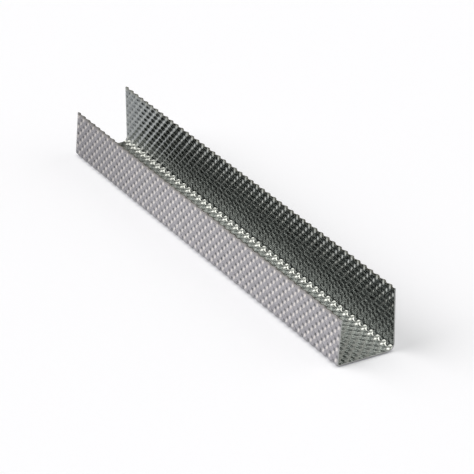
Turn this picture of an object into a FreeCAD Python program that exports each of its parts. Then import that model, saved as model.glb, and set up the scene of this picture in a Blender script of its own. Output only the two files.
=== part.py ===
import FreeCAD, Part
import math
import os

# Perimeter channel for a suspended ceiling: one strip of galvanised steel, roll-formed
# into a U with a short and a tall flange, and cut square at both ends.
# It lies on its web with the flanges up. X runs along the channel, the short flange is
# on the -Y side, and Z = 0 is the outer face of the web.
# Lengths are in millimetres and angles in degrees.

# Strip
length = 220.0
gauge = 0.5

# Width and heights over the outer faces
web_width = 27.0
short_flange_height = 20.5
tall_flange_height = 27.5

# Bends, on the inside of the strip
short_bend_radius = 1.0
tall_bend_radius = 3.0

# Lean of each flange over the web, measured from square
short_toe_in = 4.5
tall_toe_in = 0.5

near_side = -1
far_side = 1


def flange_face(side, height, bend_radius, toe_in, depth):
    """Lip, bend end, bend middle and web end of a flange, at a depth below its outer face."""
    lean = math.radians(toe_in)
    outward = FreeCAD.Vector(0, side * math.cos(lean), math.sin(lean))
    to_lip = FreeCAD.Vector(0, -side * math.sin(lean), math.cos(lean))
    down = FreeCAD.Vector(0, 0, -1)
    bend_middle_way = (outward + down).normalize()

    outer_radius = bend_radius + gauge
    bend_centre = FreeCAD.Vector(-length / 2, side * (web_width / 2 - outer_radius), outer_radius)
    straight = (height - outer_radius * (1 + math.sin(lean))) / math.cos(lean)

    radius = outer_radius - depth
    bend_end = bend_centre + outward * radius
    bend_middle = bend_centre + bend_middle_way * radius
    web_end = bend_centre + down * radius
    lip = bend_end + to_lip * straight
    return lip, bend_end, bend_middle, web_end


def channel_face(depth):
    """Edges of one face of the bent strip, from the short flange's lip to the tall one's."""
    short_lip, short_end, short_middle, short_web = flange_face(
        near_side, short_flange_height, short_bend_radius, short_toe_in, depth)
    tall_lip, tall_end, tall_middle, tall_web = flange_face(
        far_side, tall_flange_height, tall_bend_radius, tall_toe_in, depth)
    edges = [
        Part.makeLine(short_lip, short_end),
        Part.Arc(short_end, short_middle, short_web).toShape(),
        Part.makeLine(short_web, tall_web),
        Part.Arc(tall_web, tall_middle, tall_end).toShape(),
        Part.makeLine(tall_end, tall_lip),
    ]
    return short_lip, edges, tall_lip


def perimeter_channel():
    """The section between the strip's two faces and its slit edges, drawn out to length."""
    outer_short_lip, outer_edges, outer_tall_lip = channel_face(0)
    inner_short_lip, inner_edges, inner_tall_lip = channel_face(gauge)
    short_slit_edge = Part.makeLine(inner_short_lip, outer_short_lip)
    tall_slit_edge = Part.makeLine(outer_tall_lip, inner_tall_lip)
    outline = Part.Wire(outer_edges + [tall_slit_edge] + inner_edges[::-1] + [short_slit_edge])
    return Part.Face(outline).extrude(FreeCAD.Vector(length, 0, 0))


os.makedirs("parts", exist_ok=True)
perimeter_channel().exportStep("parts/perimeter_channel.step")
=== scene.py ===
import bpy
import math
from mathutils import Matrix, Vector


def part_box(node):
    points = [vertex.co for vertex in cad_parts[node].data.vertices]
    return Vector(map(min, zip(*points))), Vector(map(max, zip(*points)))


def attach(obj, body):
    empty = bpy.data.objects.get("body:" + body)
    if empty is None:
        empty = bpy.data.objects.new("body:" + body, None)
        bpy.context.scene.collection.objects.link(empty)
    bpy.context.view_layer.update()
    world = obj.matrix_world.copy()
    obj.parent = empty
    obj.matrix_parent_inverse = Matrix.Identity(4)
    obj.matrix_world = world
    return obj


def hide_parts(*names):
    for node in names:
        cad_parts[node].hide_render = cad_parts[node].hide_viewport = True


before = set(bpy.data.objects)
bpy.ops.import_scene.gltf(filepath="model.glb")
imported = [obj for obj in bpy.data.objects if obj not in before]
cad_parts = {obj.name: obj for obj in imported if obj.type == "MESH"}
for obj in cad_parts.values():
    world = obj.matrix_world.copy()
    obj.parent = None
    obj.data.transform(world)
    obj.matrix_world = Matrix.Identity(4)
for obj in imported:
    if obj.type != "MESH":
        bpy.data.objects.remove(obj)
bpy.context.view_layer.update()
mm = 0.001  # sizes below are in millimetres unless a note says otherwise, Blender is in metres


def linear(hexColour):
    # sRGB hex to the linear RGBA that shader sockets take
    channels = [int(hexColour[i:i + 2], 16) / 255 for i in (1, 3, 5)]
    return [c / 12.92 if c <= 0.04045 else ((c + 0.055) / 1.055) ** 2.4 for c in channels] + [1.0]


def direction(azimuth, elevation):
    # unit vector, from degrees round from +X and degrees up
    turn = math.radians(azimuth)
    tilt = math.radians(elevation)
    level = math.cos(tilt)
    return Vector((math.cos(turn) * level, math.sin(turn) * level, math.sin(tilt)))


def addNode(tree, kind, inputs=None, **settings):
    # one node: settings are its properties, inputs are values, sockets,
    # or nodes whose first output is taken
    node = tree.nodes.new(kind)
    for name, value in settings.items():
        setattr(node, name, value)
    for socket, value in (inputs or {}).items():
        if isinstance(value, bpy.types.Node):
            value = value.outputs[0]
        if isinstance(value, bpy.types.NodeSocket):
            tree.links.new(value, node.inputs[socket])
        else:
            node.inputs[socket].default_value = value
    return node


# the strip: dimpled while flat, then bent to an unequal U
strip = {
    "shortFlange": 20.5,   # over the outer faces, as in the part
    "shortBend": 1.5,      # outer radius
    "shortToeIn": 4.5,     # degrees that the flange leans over the web
    "tallBend": 3.5,
    "tallToeIn": 0.5,
    "gauge": 0.5,
    "pitch": 4.583,        # dimples repeat at this distance along and across
    "rise": 0.46,          # crests and pits, from the middle of the relief
    "alongShift": 3.437,   # where the dimple grid starts
    "acrossShift": 0.573,
    "facesPerPitch": 8,
    "bendSteps": 10,
    "weld": 0.001,         # points closer than this are joined
}


def sectionCorner(side, height, bend, toeIn, depth, webWidth):
    # corner and lip of one flange, at a depth below the outer faces,
    # before the bend is rounded
    lean = math.radians(toeIn)
    bendRadius = bend - depth
    tangent = bendRadius * math.tan((math.pi / 2 + lean) / 2)
    straight = (height - bend * (1 + math.sin(lean))) / math.cos(lean)
    toLip = Vector((0, -side * math.sin(lean), math.cos(lean)))
    corner = Vector((0, side * (webWidth / 2 - bend + tangent), depth))
    return corner, corner + toLip * (tangent + straight), bendRadius


def dimpledStripTree():
    tree = bpy.data.node_groups.new("dimpledStrip", "GeometryNodeTree")
    cornerNames = ("Short Lip", "Short Corner", "Tall Corner", "Tall Lip")
    inputNames = {
        "NodeSocketVector": cornerNames,
        "NodeSocketFloat": (
            "Length", "Short Bend", "Tall Bend", "Gauge", "Pitch", "Rise",
            "Along Shift", "Across Shift", "Weld",
        ),
        "NodeSocketInt": ("Columns", "Rows", "Bend Steps"),
        "NodeSocketMaterial": ("Sheet Material", "Edge Material"),
    }
    for kind, names in inputNames.items():
        for name in names:
            tree.interface.new_socket(name=name, in_out="INPUT", socket_type=kind)
    tree.interface.new_socket(name="Geometry", in_out="OUTPUT", socket_type="NodeSocketGeometry")
    given = addNode(tree, "NodeGroupInput").outputs

    # the section: four corners joined up, its two bends rounded
    index = addNode(tree, "GeometryNodeInputIndex")
    corners = addNode(tree, "GeometryNodeIndexSwitch", {0: index}, data_type="VECTOR")
    bends = addNode(tree, "GeometryNodeIndexSwitch", {0: index}, data_type="FLOAT")
    for switch in (corners, bends):
        while len(switch.index_switch_items) < len(cornerNames):
            switch.index_switch_items.new()
    for item, name in enumerate(cornerNames, start=1):
        tree.links.new(given[name], corners.inputs[item])
    for item, name in enumerate(("Short Bend", "Tall Bend"), start=2):  # lips have none
        tree.links.new(given[name], bends.inputs[item])
    line = addNode(tree, "GeometryNodeMeshLine", {"Count": len(cornerNames)})
    angular = addNode(tree, "GeometryNodeSetPosition", {0: line, "Position": corners})
    path = addNode(tree, "GeometryNodeMeshToCurve", {0: angular})
    section = addNode(tree, "GeometryNodeFilletCurve", {
        0: path, "Count": given["Bend Steps"], "Radius": bends,
    }, mode="POLY")
    width = addNode(tree, "GeometryNodeCurveLength", {0: section})

    # the flat strip and its dimples, from -1 at the bottom of a pit to 1 on a crest
    flat = addNode(tree, "GeometryNodeMeshGrid", {
        "Size X": given["Length"], "Size Y": width,
        "Vertices X": given["Columns"], "Vertices Y": given["Rows"],
    })
    point = addNode(tree, "GeometryNodeInputPosition")
    onFlat = addNode(tree, "ShaderNodeSeparateXYZ", {0: point}).outputs
    across = addNode(tree, "ShaderNodeMath", {  # from the short lip
        0: width, 1: 0.5, 2: onFlat[1],
    }, operation="MULTIPLY_ADD")
    waves = []
    for distance, shift in ((onFlat[0], given["Along Shift"]), (across, given["Across Shift"])):
        moved = addNode(tree, "ShaderNodeMath", {0: distance, 1: shift}, operation="SUBTRACT")
        turns = addNode(tree, "ShaderNodeMath", {0: moved, 1: given["Pitch"]}, operation="DIVIDE")
        angle = addNode(tree, "ShaderNodeMath", {0: turns, 1: 2 * math.pi}, operation="MULTIPLY")
        waves.append(addNode(tree, "ShaderNodeMath", {0: angle}, operation="COSINE"))
    relief = addNode(tree, "ShaderNodeMath", {0: waves[0], 1: waves[1]}, operation="MULTIPLY")
    height = addNode(tree, "ShaderNodeMath", {0: relief, 1: given["Rise"]}, operation="MULTIPLY")
    marked = addNode(tree, "GeometryNodeStoreNamedAttribute", {
        0: flat, "Name": "relief", "Value": relief,
    }, data_type="FLOAT", domain="POINT")

    # distances to the sheared ends and to the slit lips, for the painted highlight along the ends
    # and the duller lips
    spans = (("toEnd", onFlat[0], given["Length"]), ("toLip", onFlat[1], width))
    for name, distance, span in spans:
        half = addNode(tree, "ShaderNodeMath", {0: span, 1: 0.5}, operation="MULTIPLY")
        off = addNode(tree, "ShaderNodeMath", {0: distance}, operation="ABSOLUTE")
        left = addNode(tree, "ShaderNodeMath", {0: half, 1: off}, operation="SUBTRACT")
        marked = addNode(tree, "GeometryNodeStoreNamedAttribute", {
            0: marked, "Name": name, "Value": left,
        }, data_type="FLOAT", domain="POINT")

    # bending: each row goes to its place on the section, lifted along the outward normal
    onSection = addNode(tree, "GeometryNodeSampleCurve", {
        0: section, "Length": across,
    }, mode="LENGTH", use_all_curves=True).outputs
    outward = addNode(tree, "ShaderNodeVectorMath", {
        0: onSection["Tangent"], 1: (1, 0, 0),
    }, operation="CROSS_PRODUCT")
    along = addNode(tree, "ShaderNodeCombineXYZ", {0: onFlat[0]})
    base = addNode(tree, "ShaderNodeVectorMath", {
        0: onSection["Position"], 1: along,
    }, operation="ADD")
    innerHeight = addNode(tree, "ShaderNodeMath", {
        0: height, 1: given["Gauge"],
    }, operation="SUBTRACT")
    facePlaces = []
    for lift in (height, innerHeight):
        raised = addNode(tree, "ShaderNodeVectorMath", {0: outward, 3: lift}, operation="SCALE")
        place = addNode(tree, "ShaderNodeVectorMath", {0: base, 1: raised}, operation="ADD")
        facePlaces.append(place)
    kept = addNode(tree, "GeometryNodeStoreNamedAttribute", {
        0: marked, "Name": "innerPlace", "Value": facePlaces[1],
    }, data_type="FLOAT_VECTOR", domain="POINT")
    formed = addNode(tree, "GeometryNodeSetPosition", {0: kept, "Position": facePlaces[0]})

    # thickness: the formed face turned outwards, and the inner face with the slit and sheared edges
    outer = addNode(tree, "GeometryNodeFlipFaces", {0: formed})
    inner = addNode(tree, "GeometryNodeExtrudeMesh", {
        0: formed, "Offset Scale": given["Gauge"], "Individual": False,
    }, mode="FACES").outputs
    innerPlace = addNode(tree, "GeometryNodeInputNamedAttribute", {
        0: "innerPlace",
    }, data_type="FLOAT_VECTOR")
    innerFormed = addNode(tree, "GeometryNodeSetPosition", {
        0: inner["Mesh"], "Selection": inner["Top"], "Position": innerPlace,
    })
    outerRelief = addNode(tree, "GeometryNodeInputNamedAttribute", {0: "relief"}, data_type="FLOAT")
    innerRelief = addNode(tree, "ShaderNodeMath", {0: outerRelief, 1: -1.0}, operation="MULTIPLY")
    innerMarked = innerFormed
    for name, value in (("relief", innerRelief), ("inside", 1.0)):
        innerMarked = addNode(tree, "GeometryNodeStoreNamedAttribute", {
            0: innerMarked, "Selection": inner["Top"], "Name": name, "Value": value,
        }, data_type="FLOAT", domain="POINT")
    both = addNode(tree, "GeometryNodeJoinGeometry", {0: outer})
    tree.links.new(innerMarked.outputs[0], both.inputs[0])
    joined = addNode(tree, "GeometryNodeMergeByDistance", {0: both, "Distance": given["Weld"]})
    closed = addNode(tree, "GeometryNodeRemoveAttribute", {0: joined, "Name": "innerPlace"})

    # smooth faces with sharp cut edges
    sheetFaces = addNode(tree, "FunctionNodeBooleanMath", {0: inner["Side"]}, operation="NOT")
    smooth = addNode(tree, "GeometryNodeSetShadeSmooth", {0: closed, "Shade Smooth": sheetFaces})
    crisp = addNode(tree, "GeometryNodeSetShadeSmooth", {
        0: smooth, "Selection": inner["Side"], "Shade Smooth": False,
    }, domain="EDGE")
    whole = addNode(tree, "GeometryNodeRealizeInstances", {0: crisp})
    zinc = addNode(tree, "GeometryNodeSetMaterial", {0: whole, "Material": given["Sheet Material"]})
    edged = addNode(tree, "GeometryNodeSetMaterial", {
        0: zinc, "Selection": inner["Side"], "Material": given["Edge Material"],
    })
    addNode(tree, "NodeGroupOutput", {0: edged})
    return tree


def dimpledChannel(sheetMaterial, edgeMaterial):
    low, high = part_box("perimeter_channel")
    size = (high - low) / mm
    depth = strip["rise"]  # crests stay level with the part's outer faces
    shortCorner, shortLip, shortBend = sectionCorner(
        -1, strip["shortFlange"], strip["shortBend"], strip["shortToeIn"], depth, size.y)
    tallCorner, tallLip, tallBend = sectionCorner(
        1, size.z, strip["tallBend"], strip["tallToeIn"], depth, size.y)
    outline = (shortLip, shortCorner, tallCorner, tallLip)
    outlineLength = sum((end - start).length for start, end in zip(outline, outline[1:]))
    step = strip["pitch"] / strip["facesPerPitch"]
    values = {
        "Short Lip": shortLip * mm, "Short Corner": shortCorner * mm,
        "Tall Corner": tallCorner * mm, "Tall Lip": tallLip * mm,
        "Length": size.x * mm, "Short Bend": shortBend * mm, "Tall Bend": tallBend * mm,
        "Gauge": strip["gauge"] * mm, "Pitch": strip["pitch"] * mm, "Rise": strip["rise"] * mm,
        "Along Shift": strip["alongShift"] * mm, "Across Shift": strip["acrossShift"] * mm,
        "Weld": strip["weld"] * mm,
        "Columns": round(size.x / step) + 1, "Rows": round(outlineLength / step) + 1,
        "Bend Steps": strip["bendSteps"],
        "Sheet Material": sheetMaterial, "Edge Material": edgeMaterial,
    }
    piece = bpy.data.objects.new("dimpledChannel", bpy.data.meshes.new("dimpledChannel"))
    bpy.context.collection.objects.link(piece)
    tree = dimpledStripTree()
    modifier = piece.modifiers.new("dimpledStrip", "NODES")
    modifier.node_group = tree
    for item in tree.interface.items_tree:
        if item.in_out == "INPUT":
            modifier[item.identifier] = values[item.name]
    evaluated = piece.evaluated_get(bpy.context.evaluated_depsgraph_get())
    made = bpy.data.meshes.new_from_object(evaluated)
    piece.modifiers.clear()
    piece.data = made
    made.name = "dimpledChannel"
    triangles = sum(len(polygon.vertices) - 2 for polygon in made.polygons)
    print("channel", len(made.vertices), "vertices", triangles, "triangles")
    return piece


# finishes
noiseLow, noiseHigh = 0.3, 0.7  # a noise texture stays mostly between these

zincLook = {
    "colour": "#aba9ad",
    "pitShadeColour": "#606163",     # painted shade: darker in the pits
    "pitFrom": -0.3,            # relief at which the pits start to darken
    "pitFull": -0.95,
    "pitShare": 0.9,
    "pitLeast": 0.7,            # the patches vary the pits between these
    "pitMost": 1.2,
    "pitRoughness": 0.08,       # added in the pits
    "crestHighlightColour": "#b3b1b3",   # painted highlight: lighter on the crests
    "crestFrom": 0.45,
    "crestFull": 0.95,
    "crestShare": 0.4,
    "lipColour": "#94908a",     # dulled along the slit lips
    "lipWithin": 2.2,
    "lipShare": 0.6,
    "endGlintColour": "#c0c0bf",    # painted highlight: a lighter band along the sheared ends
    "endGlintWithin": 0.6,
    "speckColour": "#6f7072",   # a few dark specks
    "speckApart": 17.0,
    "speckSize": 0.8,
    "speckCore": 0.5,           # share of a speck's size that is fully dark
    "speckShare": 0.7,
    "insideReflectionTint": "#f6fffa",      # painted reflection: a faint green cast on the inside faces only
    "spangle": 2.2,             # size of the zinc's grains
    "spangleDark": 0.94,
    "spangleLight": 1.05,
    "patch": 14.0,              # size of the patches of duller zinc
    "patchDetail": 4.0,
    "patchFineness": 0.6,
    "roughness": 0.25,
    "roughnessSpread": 0.05,
    "darkerEnd": 0.68,            # colour darker towards this end
    "darkerFrom": -25.0,          # along the length
    "darkerTo": -112.0,
    "rollMark": 0.35,           # drawn wider than the real lines, which are too fine to show
    "rollMarkLength": 30.0,
    "rollMarkHeight": 0.0006,
    "rollMarkDetail": 2.0,
}


def galvanisedSteel():
    # hot-dip zinc on rolled strip: satin grey with faint grains,
    # with painted shade in the pits and painted highlights on the crests and along the sheared ends
    material = bpy.data.materials.new("hot-dip galvanised steel")
    material.use_nodes = True
    tree = material.node_tree
    tree.nodes.clear()
    place = addNode(tree, "ShaderNodeTexCoord").outputs["Object"]
    relief = addNode(tree, "ShaderNodeAttribute", attribute_name="relief").outputs["Fac"]
    toEnd = addNode(tree, "ShaderNodeAttribute", attribute_name="toEnd").outputs["Fac"]
    toLip = addNode(tree, "ShaderNodeAttribute", attribute_name="toLip").outputs["Fac"]
    inside = addNode(tree, "ShaderNodeAttribute", attribute_name="inside").outputs["Fac"]
    patches = addNode(tree, "ShaderNodeTexNoise", {
        "Vector": place, "Scale": 1 / (zincLook["patch"] * mm),
        "Detail": zincLook["patchDetail"], "Roughness": zincLook["patchFineness"],
    })

    # painted shade in the pits, painted highlights on the crests and ends, duller lips and dark
    # specks, as shares from 0 to 1
    pitDepth = addNode(tree, "ShaderNodeMapRange", {
        0: relief, 1: zincLook["pitFrom"], 2: zincLook["pitFull"], 3: 0.0, 4: zincLook["pitShare"],
    }, interpolation_type="SMOOTHSTEP")
    pitPatches = addNode(tree, "ShaderNodeMapRange", {
        0: patches, 1: noiseLow, 2: noiseHigh, 3: zincLook["pitLeast"], 4: zincLook["pitMost"],
    })
    pits = addNode(tree, "ShaderNodeMath", {
        0: pitDepth, 1: pitPatches,
    }, operation="MULTIPLY", use_clamp=True)
    crests = addNode(tree, "ShaderNodeMapRange", {
        0: relief, 1: zincLook["crestFrom"], 2: zincLook["crestFull"],
        3: 0.0, 4: zincLook["crestShare"],
    }, interpolation_type="SMOOTHSTEP")
    lips = addNode(tree, "ShaderNodeMapRange", {
        0: toLip, 1: zincLook["lipWithin"] * mm, 2: 0.0, 3: 0.0, 4: zincLook["lipShare"],
    }, interpolation_type="SMOOTHSTEP")
    # painted highlight along the sheared ends, varied by the patches
    nearEnd = addNode(tree, "ShaderNodeMapRange", {
        0: toEnd, 1: zincLook["endGlintWithin"] * mm, 2: 0.0, 3: 0.0, 4: 1.0,
    })
    endGlint = addNode(tree, "ShaderNodeMath", {0: nearEnd, 1: patches}, operation="MULTIPLY")
    speckDistance = addNode(tree, "ShaderNodeTexVoronoi", {
        "Vector": place, "Scale": 1 / (zincLook["speckApart"] * mm),
    }).outputs["Distance"]
    speckReach = zincLook["speckSize"] / zincLook["speckApart"]
    specks = addNode(tree, "ShaderNodeMapRange", {
        0: speckDistance, 1: speckReach, 2: speckReach * zincLook["speckCore"],
        3: 0.0, 4: zincLook["speckShare"],
    }, interpolation_type="SMOOTHSTEP")

    colour = linear(zincLook["colour"])
    # mixed in turn: painted shade in the pits, painted highlights on the crests, the duller lips,
    # painted highlights along the ends, dark specks
    layers = (
        (pits, "pitShadeColour"), (crests, "crestHighlightColour"), (lips, "lipColour"),
        (endGlint, "endGlintColour"), (specks, "speckColour"),
    )
    for share, layerColour in layers:
        colour = addNode(tree, "ShaderNodeMix", {
            0: share, 6: colour, 7: linear(zincLook[layerColour]),
        }, data_type="RGBA").outputs[2]
    # painted reflection: the inside faces are tinted faintly green
    reflectionTinted = addNode(tree, "ShaderNodeMix", {
        0: inside, 6: colour, 7: linear(zincLook["insideReflectionTint"]),
    }, data_type="RGBA", blend_type="MULTIPLY").outputs[2]

    # each grain is a little lighter or darker, and the far third is darker
    grainColours = addNode(tree, "ShaderNodeTexVoronoi", {
        "Vector": place, "Scale": 1 / (zincLook["spangle"] * mm),
    }).outputs["Color"]
    grain = addNode(tree, "ShaderNodeSeparateColor", {0: grainColours})
    grainShade = addNode(tree, "ShaderNodeMapRange", {
        0: grain, 3: zincLook["spangleDark"], 4: zincLook["spangleLight"],
    })
    along = addNode(tree, "ShaderNodeSeparateXYZ", {0: place})
    endShade = addNode(tree, "ShaderNodeMapRange", {
        0: along, 1: zincLook["darkerFrom"] * mm, 2: zincLook["darkerTo"] * mm,
        3: 1.0, 4: zincLook["darkerEnd"],
    })
    shade = addNode(tree, "ShaderNodeMath", {0: grainShade, 1: endShade}, operation="MULTIPLY")
    shaded = addNode(tree, "ShaderNodeHueSaturation", {"Value": shade, "Color": reflectionTinted})

    satin = addNode(tree, "ShaderNodeMapRange", {
        0: patches, 1: noiseLow, 2: noiseHigh,
        3: zincLook["roughness"] - zincLook["roughnessSpread"] / 2,
        4: zincLook["roughness"] + zincLook["roughnessSpread"] / 2,
    })
    roughness = addNode(tree, "ShaderNodeMath", {
        0: pits, 1: zincLook["pitRoughness"], 2: satin,
    }, operation="MULTIPLY_ADD")

    # roll marks: fine lines along the strip
    marksAcross = 1 / (zincLook["rollMark"] * mm)
    stretched = addNode(tree, "ShaderNodeMapping", {
        "Vector": place,
        "Scale": (1 / (zincLook["rollMarkLength"] * mm), marksAcross, marksAcross),
    }, vector_type="POINT")
    marks = addNode(tree, "ShaderNodeTexNoise", {
        "Vector": stretched, "Scale": 1.0, "Detail": zincLook["rollMarkDetail"],
    })
    bump = addNode(tree, "ShaderNodeBump", {
        "Strength": 1.0, "Distance": zincLook["rollMarkHeight"] * mm, "Height": marks,
    })
    shader = addNode(tree, "ShaderNodeBsdfPrincipled", {
        "Base Color": shaded, "Metallic": 1.0, "Roughness": roughness, "Normal": bump,
    })
    addNode(tree, "ShaderNodeOutputMaterial", {"Surface": shader})
    return material


edgeLook = {
    "end": "#b2b3b2",           # sheared ends
    "slit": "#94928e",          # slit lips
    "endsFrom": 109.95,         # from the middle of the length
    "tear": 0.4,                # size of the torn grain
    "tearDetail": 3.0,
    "tearDark": 0.85,
    "tearLight": 1.1,
    "tearHeight": 0.02,
    "tearStrength": 0.4,
    "smoothest": 0.4,           # roughness varies between these
    "roughest": 0.6,
}


def shearedEdge():
    # cut steel: pale at the ends, darker along the slit lips, torn and rough all over
    material = bpy.data.materials.new("sheared steel edge")
    material.use_nodes = True
    tree = material.node_tree
    tree.nodes.clear()
    place = addNode(tree, "ShaderNodeTexCoord").outputs["Object"]
    along = addNode(tree, "ShaderNodeSeparateXYZ", {0: place})
    off = addNode(tree, "ShaderNodeMath", {0: along}, operation="ABSOLUTE")
    atEnd = addNode(tree, "ShaderNodeMath", {
        0: off, 1: edgeLook["endsFrom"] * mm,
    }, operation="GREATER_THAN")
    torn = addNode(tree, "ShaderNodeTexNoise", {
        "Vector": place, "Scale": 1 / (edgeLook["tear"] * mm), "Detail": edgeLook["tearDetail"],
    })
    colour = addNode(tree, "ShaderNodeMix", {
        0: atEnd, 6: linear(edgeLook["slit"]), 7: linear(edgeLook["end"]),
    }, data_type="RGBA").outputs[2]
    shade = addNode(tree, "ShaderNodeMapRange", {
        0: torn, 1: noiseLow, 2: noiseHigh, 3: edgeLook["tearDark"], 4: edgeLook["tearLight"],
    })
    shaded = addNode(tree, "ShaderNodeHueSaturation", {"Value": shade, "Color": colour})
    roughness = addNode(tree, "ShaderNodeMapRange", {
        0: torn, 1: noiseLow, 2: noiseHigh, 3: edgeLook["smoothest"], 4: edgeLook["roughest"],
    })
    bump = addNode(tree, "ShaderNodeBump", {
        "Strength": edgeLook["tearStrength"], "Distance": edgeLook["tearHeight"] * mm,
        "Height": torn,
    })
    shader = addNode(tree, "ShaderNodeBsdfPrincipled", {
        "Base Color": shaded, "Metallic": 1.0, "Roughness": roughness, "Normal": bump,
    })
    addNode(tree, "ShaderNodeOutputMaterial", {"Surface": shader})
    return material


channelPiece = dimpledChannel(galvanisedSteel(), shearedEdge())
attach(channelPiece, "root")
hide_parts("perimeter_channel")

# studio: a dim room with a white floor, one leaning soft box with a card below it,
# and two weak panels; azimuths are degrees round from +X, and widths, heights and
# reaches are degrees as seen from the object
studio = {
    "floorSize": 12.0,     # metres
    "floorColour": "#c7c9d4",
    "floorGlow": 0.505,
    "glowColour": "#ffffff",
    "contactShade": 1.8,   # how far the object's foot darkens the floor
    "contactSamples": 8,
    "roomLight": 0.05,
    "roomColour": "#d2f0de",
    "boxColour": "#fffaf0",
    "boxAzimuth": 230.0,
    "boxElevation": 28.0,
    "boxLean": 35.0,       # its top leans away from the object's near end
    "boxWide": 29.0,       # from its middle to its faded edges
    "boxTall": 44.0,
    "boxCore": 0.8,        # share of the box that is fully bright
    "boxLow": 1.9,         # level at the box's lower edge
    "boxLight": 4.0,
    "boxFrom": 8.0,        # elevations between which the level rises
    "boxFull": 36.0,
    "cardAzimuth": 225.0,  # a white card standing on the floor below the box
    "cardWide": 32.0,
    "cardTall": 14.0,
    "cardLight": 1.9,
    "panelCore": 0.5,
    # weak round panels past the far end and behind the tall flange:
    # azimuth, elevation, reach, level
    "panels": ((172.0, 40.0, 36.0, 0.56), (60.0, 18.0, 55.0, 1.0)),
}


def backgroundRays(tree):
    # 1 for rays that should see the plain white background, 0 for those that light the scene
    rays = addNode(tree, "ShaderNodeLightPath").outputs
    shown = addNode(tree, "ShaderNodeMath", {
        0: rays["Is Camera Ray"], 1: rays["Is Glossy Ray"],
    }, operation="MAXIMUM")
    return addNode(tree, "ShaderNodeMath", {
        0: shown, 1: rays["Is Transmission Ray"],
    }, operation="MAXIMUM")


def paleFloor():
    half = studio["floorSize"] / 2
    corners = [(-half, -half, 0), (half, -half, 0), (half, half, 0), (-half, half, 0)]
    mesh = bpy.data.meshes.new("floor")
    mesh.from_pydata(corners, [], [(0, 1, 2, 3)])
    floor = bpy.data.objects.new("floor", mesh)
    bpy.context.collection.objects.link(floor)
    # matt white, lifted to plain white for the background rays except at the object's foot
    material = bpy.data.materials.new("matt white paper")
    material.use_nodes = True
    tree = material.node_tree
    tree.nodes.clear()
    clear = addNode(tree, "ShaderNodeAmbientOcclusion", {
        "Distance": studio["contactShade"] * mm,
    }, samples=studio["contactSamples"]).outputs["AO"]
    shown = addNode(tree, "ShaderNodeMath", {
        0: backgroundRays(tree), 1: clear,
    }, operation="MULTIPLY")
    lift = addNode(tree, "ShaderNodeMath", {0: shown, 1: studio["floorGlow"]}, operation="MULTIPLY")
    matt = addNode(tree, "ShaderNodeBsdfDiffuse", {"Color": linear(studio["floorColour"])})
    glow = addNode(tree, "ShaderNodeEmission", {
        "Color": linear(studio["glowColour"]), "Strength": lift,
    })
    lifted = addNode(tree, "ShaderNodeAddShader", {0: matt, 1: glow})
    addNode(tree, "ShaderNodeOutputMaterial", {"Surface": lifted})
    mesh.materials.append(material)


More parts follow.
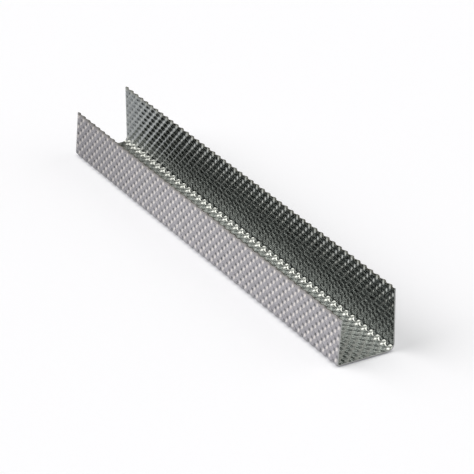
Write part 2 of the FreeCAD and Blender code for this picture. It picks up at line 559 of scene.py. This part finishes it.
def studioWorld():
    world = bpy.data.worlds.new("studio room")
    bpy.context.scene.world = world
    world.use_nodes = True
    tree = world.node_tree
    tree.nodes.clear()
    way = addNode(tree, "ShaderNodeTexCoord").outputs["Generated"]
    height = addNode(tree, "ShaderNodeSeparateXYZ", {0: way}).outputs[2]

    # the soft box: a leaning rectangle with faded edges, brighter towards its top
    toBox = direction(studio["boxAzimuth"], studio["boxElevation"])
    level = direction(studio["boxAzimuth"] + 90, 0)
    lean = math.radians(studio["boxLean"])
    sideways = level * math.cos(lean) - toBox.cross(level) * math.sin(lean)
    upwards = toBox.cross(sideways)
    ahead = addNode(tree, "ShaderNodeVectorMath", {
        0: way, 1: toBox,
    }, operation="DOT_PRODUCT").outputs["Value"]
    lit = addNode(tree, "ShaderNodeMath", {0: ahead, 1: 0.0}, operation="GREATER_THAN")
    for axis, reach in ((sideways, studio["boxWide"]), (upwards, studio["boxTall"])):
        across = addNode(tree, "ShaderNodeVectorMath", {
            0: way, 1: axis,
        }, operation="DOT_PRODUCT").outputs["Value"]
        slope = addNode(tree, "ShaderNodeMath", {0: across, 1: ahead}, operation="DIVIDE")
        apart = addNode(tree, "ShaderNodeMath", {0: slope}, operation="ABSOLUTE")
        within = addNode(tree, "ShaderNodeMapRange", {
            0: apart, 1: math.tan(math.radians(reach)),
            2: math.tan(math.radians(reach * studio["boxCore"])), 3: 0.0, 4: 1.0,
        }, interpolation_type="SMOOTHSTEP")
        lit = addNode(tree, "ShaderNodeMath", {0: lit, 1: within}, operation="MULTIPLY")
    bright = addNode(tree, "ShaderNodeMapRange", {
        0: height, 1: math.sin(math.radians(studio["boxFrom"])),
        2: math.sin(math.radians(studio["boxFull"])), 3: studio["boxLow"], 4: studio["boxLight"],
    }, interpolation_type="SMOOTHSTEP")
    box = addNode(tree, "ShaderNodeMath", {0: lit, 1: bright}, operation="MULTIPLY")

    # the card, between two azimuths and below one elevation
    toCard = direction(studio["cardAzimuth"], 0)
    levelWay = addNode(tree, "ShaderNodeVectorMath", {0: way, 1: (1, 1, 0)}, operation="MULTIPLY")
    compass = addNode(tree, "ShaderNodeVectorMath", {0: levelWay}, operation="NORMALIZE")
    towardsCard = addNode(tree, "ShaderNodeVectorMath", {
        0: compass, 1: toCard,
    }, operation="DOT_PRODUCT").outputs["Value"]
    onCard = addNode(tree, "ShaderNodeMapRange", {
        0: towardsCard, 1: math.cos(math.radians(studio["cardWide"])),
        2: math.cos(math.radians(studio["cardWide"] * studio["boxCore"])),
        3: 0.0, 4: studio["cardLight"],
    }, interpolation_type="SMOOTHSTEP")
    below = addNode(tree, "ShaderNodeMapRange", {
        0: height, 1: math.sin(math.radians(studio["cardTall"])),
        2: math.sin(math.radians(studio["cardTall"] * studio["boxCore"])), 3: 0.0, 4: 1.0,
    }, interpolation_type="SMOOTHSTEP")
    card = addNode(tree, "ShaderNodeMath", {0: onCard, 1: below}, operation="MULTIPLY")

    strength = addNode(tree, "ShaderNodeMath", {0: box, 1: card}, operation="MAXIMUM")
    for azimuth, elevation, reach, panelLight in studio["panels"]:
        towardsPanel = addNode(tree, "ShaderNodeVectorMath", {
            0: way, 1: direction(azimuth, elevation),
        }, operation="DOT_PRODUCT").outputs["Value"]
        panel = addNode(tree, "ShaderNodeMapRange", {
            0: towardsPanel, 1: math.cos(math.radians(reach)),
            2: math.cos(math.radians(reach * studio["panelCore"])), 3: 0.0, 4: panelLight,
        }, interpolation_type="SMOOTHSTEP")
        strength = addNode(tree, "ShaderNodeMath", {0: strength, 1: panel}, operation="MAXIMUM")
    lamps = addNode(tree, "ShaderNodeBackground", {
        "Color": linear(studio["boxColour"]), "Strength": strength,
    })
    room = addNode(tree, "ShaderNodeBackground", {
        "Color": linear(studio["roomColour"]), "Strength": studio["roomLight"],
    })
    whole = addNode(tree, "ShaderNodeAddShader", {0: lamps, 1: room})
    addNode(tree, "ShaderNodeOutputWorld", {"Surface": whole})


paleFloor()
studioWorld()
print("studio ready")

photoView = {
    "azimuth": -29.94,     # degrees round from +X
    "elevation": 26.97,
    "distance": 1125.45,
    "aim": (1.2, 5.52, 3.38),
    "lens": 205.72,
    "sensor": 36.0,
    "clipFrom": 10.0,
}


def addCamera():
    back = direction(photoView["azimuth"], photoView["elevation"])
    data = bpy.data.cameras.new("photoCamera")
    data.sensor_width = photoView["sensor"]
    data.lens = photoView["lens"]
    data.clip_start = photoView["clipFrom"] * mm
    camera = bpy.data.objects.new("photoCamera", data)
    bpy.context.collection.objects.link(camera)
    camera.location = (Vector(photoView["aim"]) + back * photoView["distance"]) * mm
    camera.rotation_euler = back.to_track_quat("Z", "Y").to_euler()
    bpy.context.scene.camera = camera


addCamera()
bpy.context.scene.view_settings.view_transform = "Standard"
print("camera ready")
